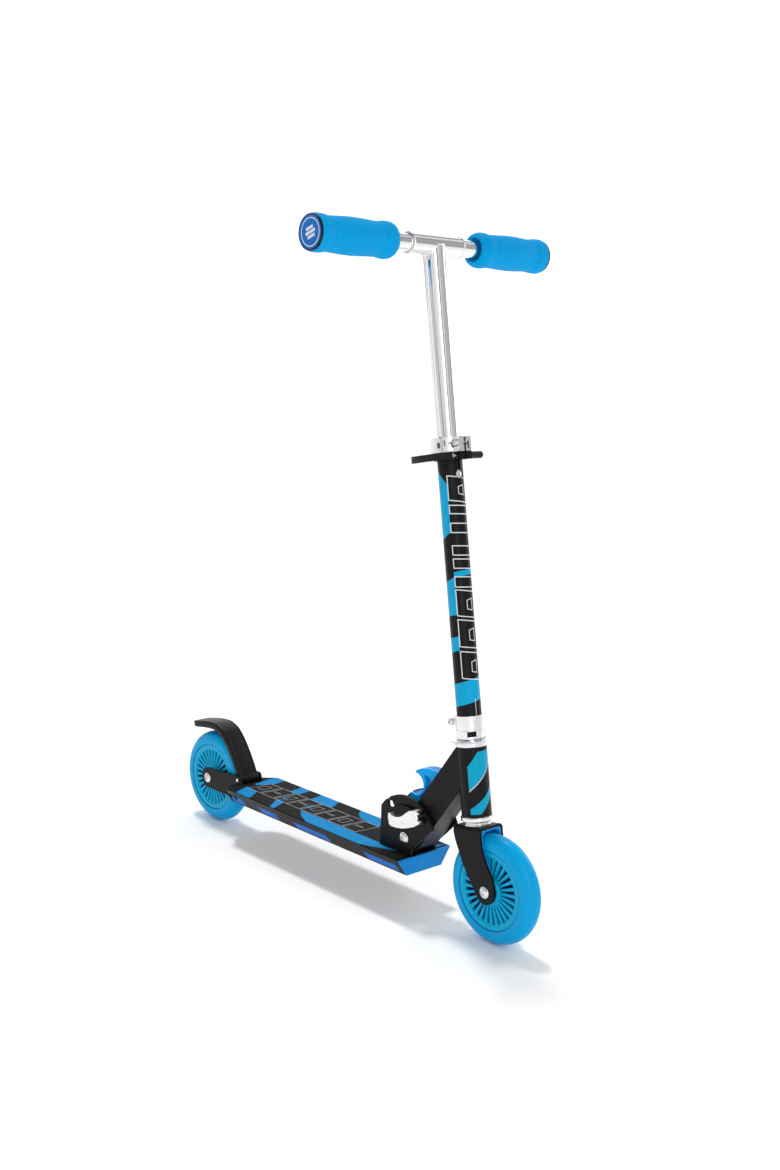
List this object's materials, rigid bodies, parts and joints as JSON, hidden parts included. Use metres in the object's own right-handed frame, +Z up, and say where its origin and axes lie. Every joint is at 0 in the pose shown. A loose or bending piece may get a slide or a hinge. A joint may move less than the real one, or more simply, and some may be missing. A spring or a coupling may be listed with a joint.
{
  "type": "folding kick scooter",
  "caption": "Folding in-line kick scooter for a child: narrow deck, rear fender brake, fold bracket with quick lever, height-adjustable T-bar and soft grips.",
  "frame": {"origin": "on the ground, midway between the two wheels, in the scooter's middle plane", "axes": "+X forward, +Y to the rider's left, +Z up"},
  "size_m": [0.626, 0.3372, 0.7555],
  "materials": {
    "black_paint": "satin powder coat",
    "grip_tape": "gritty printed grip sheet",
    "blue_cap": "moulded blue cap",
    "blue_pull": "moulded blue finger pull",
    "blue_liner": "moulded blue arch",
    "tyre_blue": "cast blue polyurethane",
    "hub_blue": "moulded blue hub",
    "fender_black": "moulded black, satin",
    "black_plastic": "moulded black",
    "chromed_tube": "polished chromed steel tube",
    "bright_steel": "zinc-bright steel hardware",
    "black_bolt": "black-oxide steel",
    "cast_alloy": "polished cast alloy",
    "grip_foam": "soft moulded blue grip",
    "grip_cap": "moulded end cap"
  },
  "bodies": {
    "deck": {"deck_frame": "black_paint", "grip_tape": "grip_tape", "deck_front_cap": "blue_cap", "fold_bracket_right": "black_paint", "fold_bracket_left": "black_paint", "deck_bolts": "black_bolt", "deck_cap_nuts": "bright_steel", "fold_pivot_bolt": "bright_steel", "rear_fork_right": "black_paint", "rear_fork_left": "black_paint", "rear_axle_bolt": "bright_steel", "rear_axle_spacers": "bright_steel", "rear_bearing_inner_races": "bright_steel", "brake_hinge_pin": "bright_steel"},
    "rear_wheel": {"rear_tyre": "tyre_blue", "rear_hub": "hub_blue", "rear_bearing_outer_races": "bright_steel"},
    "brake": {"brake_fender": "fender_black"},
    "stem": {"down_tube": "black_paint", "head_tube": "black_paint", "fold_liners": "black_plastic", "fold_skewer": "bright_steel", "fold_skewer_nut": "bright_steel", "upper_headset_cup": "bright_steel", "lower_headset_cup": "bright_steel"},
    "fold_lever": {"fold_quick_lever": "cast_alloy", "fold_lever_pin": "bright_steel"},
    "release": {"release_pull": "blue_pull"},
    "steering": {"fork": "black_paint", "fork_steerer": "bright_steel", "fork_liner": "blue_liner", "crown_race": "bright_steel", "headset_balls": "bright_steel", "headset_washer": "bright_steel", "headset_lock_nut": "bright_steel", "lower_clamp": "cast_alloy", "clamp_screws": "bright_steel", "steering_tube": "black_paint", "tube_bush": "black_plastic", "height_clamp": "cast_alloy", "height_skewer": "bright_steel", "height_skewer_nut": "black_plastic", "front_axle_bolt": "bright_steel", "front_axle_nut": "bright_steel", "front_axle_spacers": "bright_steel", "front_bearing_inner_races": "bright_steel"},
    "height_lever": {"height_quick_lever": "black_plastic"},
    "front_wheel": {"front_tyre": "tyre_blue", "front_hub": "hub_blue", "front_bearing_outer_races": "bright_steel"},
    "handlebar": {"stem_tube": "chromed_tube", "t_sleeve": "chromed_tube", "tube_plug": "black_plastic"},
    "button": {"snap_button": "bright_steel"},
    "right_handle": {"right_handle_tube": "chromed_tube", "right_grip": "grip_foam", "right_grip_cap": "grip_cap"},
    "left_handle": {"left_handle_tube": "chromed_tube", "left_grip": "grip_foam", "left_grip_cap": "grip_cap"}
  },
  "joints": [
    {"name": "rear_wheel_spin", "type": "hinge", "parent": "deck", "child": "rear_wheel", "pos_m": [-0.253, 0, 0.06], "axis": [0, 1, 0], "continuous": true},
    {"name": "brake_press", "type": "hinge", "parent": "deck", "child": "brake", "pos_m": [-0.188, 0, 0.0725], "axis": [0, -1, 0], "range_deg": [0, 6], "stiffness_Nm_per_rad": 6, "springref_deg": -5.73},
    {"name": "fold", "type": "hinge", "parent": "deck", "child": "stem", "pos_m": [0.13, 0, 0.086], "axis": [0, -1, 0], "range_deg": [0, 74.4]},
    {"name": "fold_lever_open", "type": "hinge", "parent": "stem", "child": "fold_lever", "pos_m": [0.15524, -0.0276, 0.11831], "axis": [-0.2588, 0, 0.9659], "range_deg": [0, 100]},
    {"name": "release_pull", "type": "slide", "parent": "stem", "child": "release", "axis": [0.5878, 0, 0.809], "range_m": [0, 0.008], "stiffness_N_per_m": 600, "springref_m": -0.004},
    {"name": "steer", "type": "hinge", "parent": "stem", "child": "steering", "pos_m": [0.23274, 0, 0.06], "axis": [-0.159, 0, 0.9873], "range_deg": [-135, 135]},
    {"name": "front_wheel_spin", "type": "hinge", "parent": "steering", "child": "front_wheel", "pos_m": [0.253, 0, 0.06], "axis": [0, 1, 0], "continuous": true},
    {"name": "height_lever_open", "type": "hinge", "parent": "steering", "child": "height_lever", "pos_m": [0.17816, -0.016, 0.51835], "axis": [-0.159, 0, 0.9873], "range_deg": [0, 100]},
    {"name": "bar_height", "type": "slide", "parent": "steering", "child": "handlebar", "axis": [-0.159, 0, 0.9873], "range_m": [-0.156, 0]},
    {"name": "button_press", "type": "slide", "parent": "handlebar", "child": "button", "axis": [-0.9873, 0, -0.159], "range_m": [0, 0.003], "stiffness_N_per_m": 300, "springref_m": -0.002},
    {"name": "right_handle_pull", "type": "slide", "parent": "handlebar", "child": "right_handle", "axis": [0, -1, 0], "range_m": [0, 0.04]},
    {"name": "left_handle_pull", "type": "slide", "parent": "handlebar", "child": "left_handle", "axis": [0, 1, 0], "range_m": [0, 0.04]}
  ]
}
